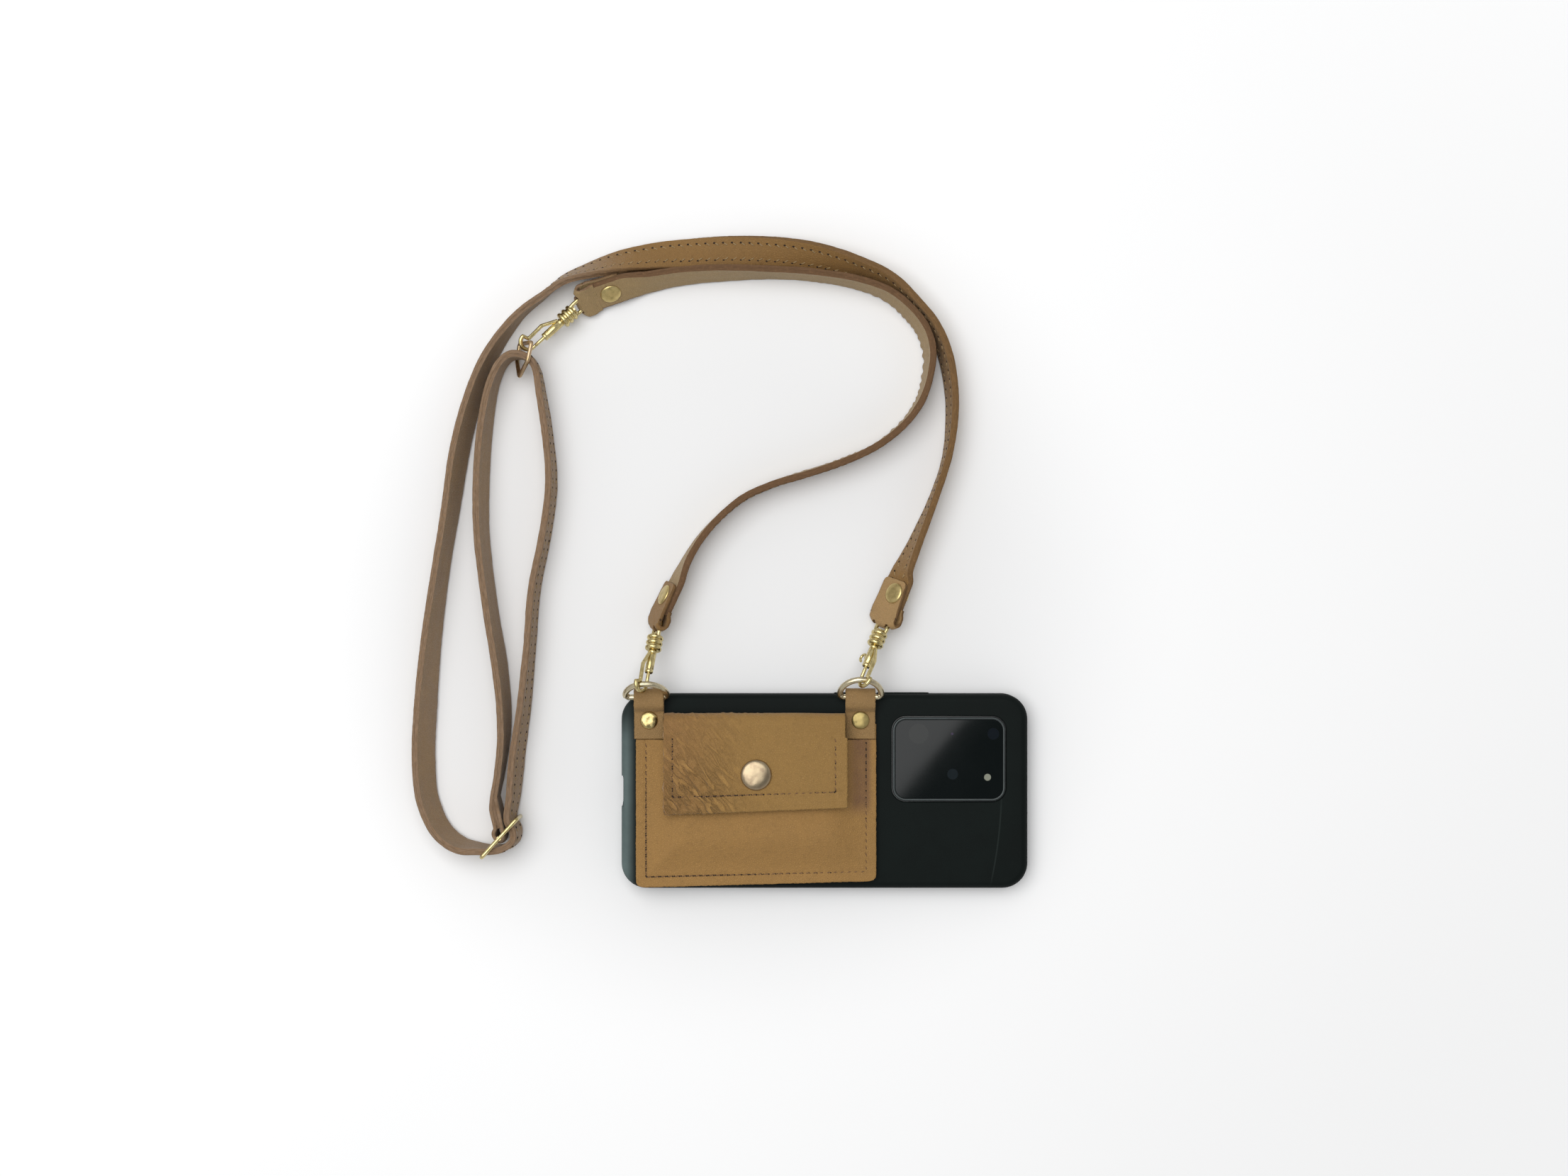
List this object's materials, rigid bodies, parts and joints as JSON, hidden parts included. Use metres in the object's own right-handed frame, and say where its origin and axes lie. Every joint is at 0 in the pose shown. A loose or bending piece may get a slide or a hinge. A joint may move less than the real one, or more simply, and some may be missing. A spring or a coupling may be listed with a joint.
{
  "type": "phone card pouch with strap",
  "caption": "Soft phone case with a leather card pouch on its back, snap flap, D-rings and a two-part carrying strap with spring clips and a slide buckle.",
  "frame": {"origin": "middle of the surface that the case rests on, screen side down", "axes": "+X to the end with the camera, +Y to the strap side, +Z out of the pouch"},
  "size_m": [0.2581, 0.275, 0.0252],
  "materials": {
    "case_plastic": "matt soft case",
    "phone_metal": "satin",
    "phone_plastic": "matt",
    "screen_glass": "gloss black",
    "back_glass": "gloss",
    "camera_metal": "satin grey",
    "camera_glass": "gloss dark tint",
    "lens": "gloss black",
    "flash": "pale diffuser",
    "adhesive": "thin adhesive",
    "leather": "tan, fine pebble grain",
    "lining": "smooth tan lining",
    "strap_leather": "tan, stitched on one face",
    "thread": "waxed brown thread",
    "snap_metal": "pale gold, satin",
    "gold_metal": "pale gold, polished",
    "ring_metal": "grey gold, polished"
  },
  "bodies": {
    "case": {"case_shell": "case_plastic", "adhesive_sheet": "adhesive", "back_panel": "leather", "front_panel": "leather", "panel_thread": "thread", "flap_fold": "leather", "snap_stud": "gold_metal", "snap_post": "gold_metal", "tab_rivets": "gold_metal"},
    "phone": {"phone_frame": "phone_metal", "phone_core": "phone_plastic", "phone_screen": "screen_glass", "phone_back_glass": "back_glass", "camera_rim": "camera_metal", "camera_glass": "camera_glass", "camera_lenses": "lens", "camera_flash": "flash"},
    "flap": {"flap": "leather", "flap_lining": "lining", "flap_thread": "thread", "snap_cap": "snap_metal", "snap_socket": "gold_metal"},
    "strap": {"left_d_ring": "ring_metal", "right_d_ring": "ring_metal", "left_clip_eye": "gold_metal", "right_clip_eye": "gold_metal", "end_clip_eye": "gold_metal", "short_strap": "strap_leather", "long_strap": "strap_leather", "strap_rivets": "gold_metal"},
    "left_hook": {"left_clip_barrel": "gold_metal", "left_clip_spring": "gold_metal"},
    "left_bolt": {"left_clip_bolt": "gold_metal"},
    "right_hook": {"right_clip_barrel": "gold_metal", "right_clip_spring": "gold_metal"},
    "right_bolt": {"right_clip_bolt": "gold_metal"},
    "end_hook": {"end_clip_barrel": "gold_metal", "end_clip_spring": "gold_metal"},
    "end_bolt": {"end_clip_bolt": "gold_metal"},
    "strap_ring": {"strap_ring": "ring_metal"},
    "slide_buckle": {"slide_buckle": "gold_metal"}
  },
  "joints": [
    {"name": "phone_slide", "type": "slide", "parent": "case", "child": "phone", "axis": [0, 0, -1], "range_m": [0, 0.03]},
    {"name": "flap_hinge", "type": "hinge", "parent": "case", "child": "flap", "pos_m": [0, 0.0283, 0.0161], "axis": [-1, 0, 0], "range_deg": [0, 120], "deforming": ["flap_fold"]},
    {"name": "strap_swing", "type": "hinge", "parent": "case", "child": "strap", "pos_m": [0, 0.0393, 0.0136], "axis": [1, 0, 0], "range_deg": [-40, 45]},
    {"name": "left_swivel", "type": "hinge", "parent": "strap", "child": "left_hook", "pos_m": [-0.07478, 0.04151, 0.02086], "axis": [0.1503, 0.8982, -0.4131], "range_deg": [-10, 10]},
    {"name": "left_bolt_slide", "type": "slide", "parent": "left_hook", "child": "left_bolt", "axis": [0.1503, 0.8982, -0.4131], "range_m": [0, 0.0035], "stiffness_N_per_m": 120, "springref_m": -0.002, "deforming": ["left_clip_spring"]},
    {"name": "right_swivel", "type": "hinge", "parent": "strap", "child": "right_hook", "pos_m": [0.01365, 0.04439, 0.0189], "axis": [0.3681, 0.8466, -0.3843], "range_deg": [-10, 10]},
    {"name": "right_bolt_slide", "type": "slide", "parent": "right_hook", "child": "right_bolt", "axis": [0.3681, 0.8466, -0.3843], "range_m": [0, 0.0035], "stiffness_N_per_m": 120, "springref_m": -0.002, "deforming": ["right_clip_spring"]},
    {"name": "end_swivel", "type": "hinge", "parent": "strap", "child": "end_hook", "pos_m": [-0.12448, 0.18383, 0.01091], "axis": [0.7192, 0.6825, -0.1305], "range_deg": [-10, 10]},
    {"name": "end_bolt_slide", "type": "slide", "parent": "end_hook", "child": "end_bolt", "axis": [0.7192, 0.6825, -0.1305], "range_m": [0, 0.0035], "stiffness_N_per_m": 120, "springref_m": -0.002, "deforming": ["end_clip_spring"]},
    {"name": "strap_ring_turn", "type": "hinge", "parent": "strap", "child": "strap_ring", "pos_m": [-0.1254, 0.1882, 0.0094], "axis": [0.4, -0.0735, 0.9135], "range_deg": [-4, 3]},
    {"name": "buckle_turn", "type": "hinge", "parent": "strap", "child": "slide_buckle", "pos_m": [-0.13577, -0.01907, 0.00895], "axis": [0, 0, 1], "range_deg": [-2, 2]}
  ]
}
